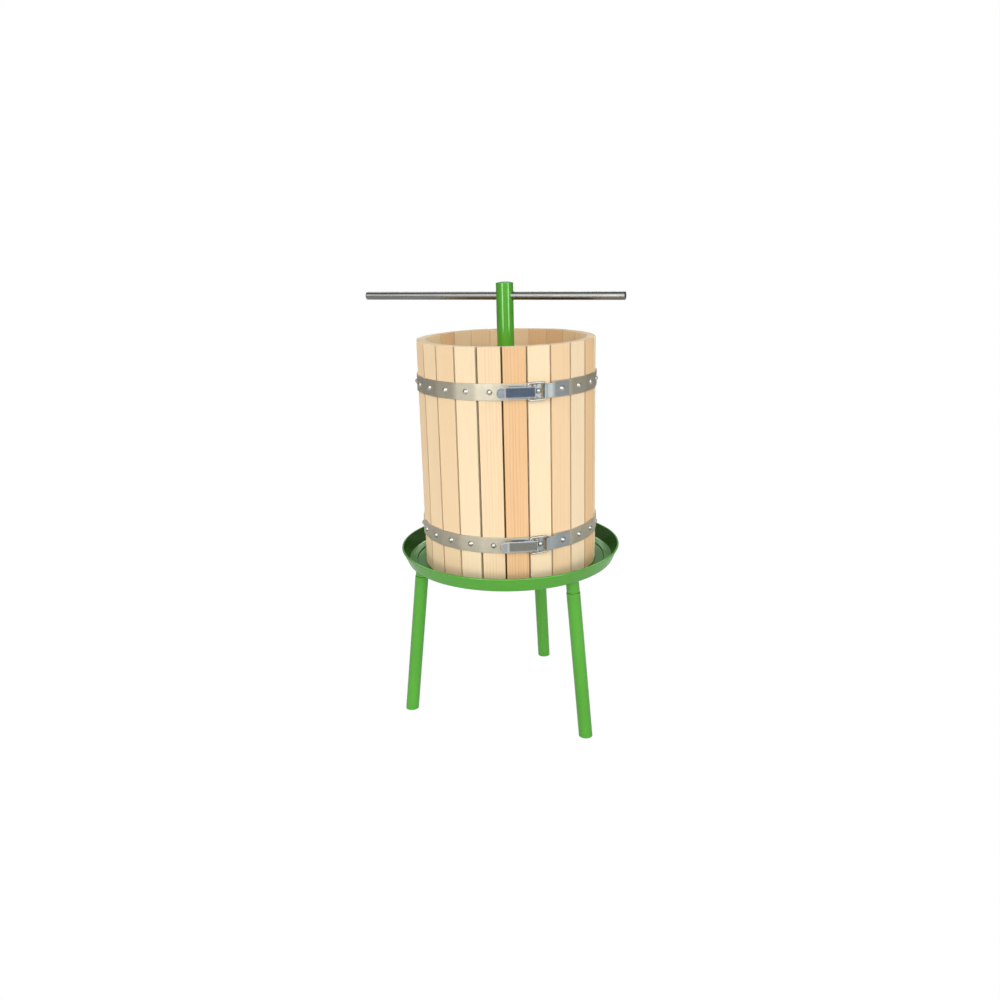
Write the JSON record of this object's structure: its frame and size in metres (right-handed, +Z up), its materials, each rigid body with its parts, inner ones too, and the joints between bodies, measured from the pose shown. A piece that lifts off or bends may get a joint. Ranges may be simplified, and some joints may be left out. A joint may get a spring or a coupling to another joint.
{
  "type": "grape press",
  "caption": "Hand grape press: slatted wooden basket with latched hoops in a green tray on splayed legs, pressed by a screw column with a sliding T-bar.",
  "frame": {"origin": "on the floor, on the axis of the spindle", "axes": "+Z up along the spindle, the latches face -Y, +X to the right seen from the latches"},
  "size_m": [0.411, 0.417, 0.714],
  "materials": {
    "green_paint": "gloss green powder coat",
    "stave_wood": "planed pale pine",
    "board_wood": "planed beech",
    "zinc": "galvanised steel",
    "blue_zinc": "bright blue zinc plate",
    "bright_steel": "bright drawn steel"
  },
  "bodies": {
    "frame": {"tray": "green_paint", "spout": "green_paint", "tray_brace": "green_paint", "front_leg_socket": "green_paint", "rear_leg_socket": "green_paint", "left_leg_socket": "green_paint", "front_leg": "green_paint", "rear_leg": "green_paint", "left_leg": "green_paint", "spindle": "bright_steel", "spindle_nuts": "bright_steel", "spindle_washers": "bright_steel", "stave_01": "stave_wood", "stave_02": "stave_wood", "stave_03": "stave_wood", "stave_04": "stave_wood", "stave_05": "stave_wood", "stave_06": "stave_wood", "stave_07": "stave_wood", "stave_08": "stave_wood", "stave_09": "stave_wood", "stave_10": "stave_wood", "stave_11": "stave_wood", "stave_12": "stave_wood", "stave_13": "stave_wood", "stave_14": "stave_wood", "stave_15": "stave_wood", "stave_16": "stave_wood", "stave_17": "stave_wood", "stave_18": "stave_wood", "stave_19": "stave_wood", "stave_20": "stave_wood", "stave_21": "stave_wood", "stave_22": "stave_wood", "stave_23": "stave_wood", "stave_24": "stave_wood", "lower_hoop": "zinc", "lower_hoop_rivets": "zinc", "lower_latch_base": "zinc", "lower_latch_pin": "bright_steel", "lower_latch_hook": "zinc", "upper_hoop": "zinc", "upper_hoop_rivets": "zinc", "upper_latch_base": "zinc", "upper_latch_pin": "bright_steel", "upper_latch_hook": "zinc"},
    "press_head": {"press_board_left": "board_wood", "press_board_right": "board_wood", "press_batten_front": "board_wood", "press_batten_rear": "board_wood", "press_batten_screws": "bright_steel", "thrust_plate": "green_paint"},
    "column": {"column_nut": "green_paint", "column_tube": "green_paint", "column_cap": "green_paint"},
    "tommy_bar": {"tommy_bar": "bright_steel"},
    "lower_lever": {"lower_latch_lever": "blue_zinc"},
    "lower_bail": {"lower_latch_bail": "bright_steel"},
    "upper_lever": {"upper_latch_lever": "blue_zinc"},
    "upper_bail": {"upper_latch_bail": "bright_steel"}
  },
  "joints": [
    {"name": "press_travel", "type": "slide", "parent": "frame", "child": "press_head", "axis": [0, 0, 1], "range_m": [-0.044, 0.24]},
    {"name": "press_turn", "type": "hinge", "parent": "press_head", "child": "column", "pos_m": [0, 0, 0.36], "axis": [0, 0, 1], "range_deg": [-3960, 21600]},
    {"name": "bar_slide", "type": "slide", "parent": "column", "child": "tommy_bar", "axis": [0.9336, -0.3584, 0], "range_m": [-0.15, 0.2]},
    {"name": "lower_lever_turn", "type": "hinge", "parent": "frame", "child": "lower_lever", "pos_m": [0.0408, -0.14206, 0.329], "axis": [0, 0, 1], "range_deg": [0, 95]},
    {"name": "lower_bail_turn", "type": "hinge", "parent": "lower_lever", "child": "lower_bail", "pos_m": [0.0311, -0.14552, 0.329], "axis": [0, 0, -1], "range_deg": [0, 71.5]},
    {"name": "upper_lever_turn", "type": "hinge", "parent": "frame", "child": "upper_lever", "pos_m": [0.0408, -0.14206, 0.564], "axis": [0, 0, 1], "range_deg": [0, 95]},
    {"name": "upper_bail_turn", "type": "hinge", "parent": "upper_lever", "child": "upper_bail", "pos_m": [0.0311, -0.14552, 0.564], "axis": [0, 0, -1], "range_deg": [0, 71.5]}
  ],
  "couplings": [
    {"joint": "press_travel", "follows": "press_turn", "m_per_rad": 0.00063662},
    {"joint": "lower_bail_turn", "follows": "lower_lever_turn", "ratio": 0.75},
    {"joint": "upper_bail_turn", "follows": "upper_lever_turn", "ratio": 0.75}
  ]
}
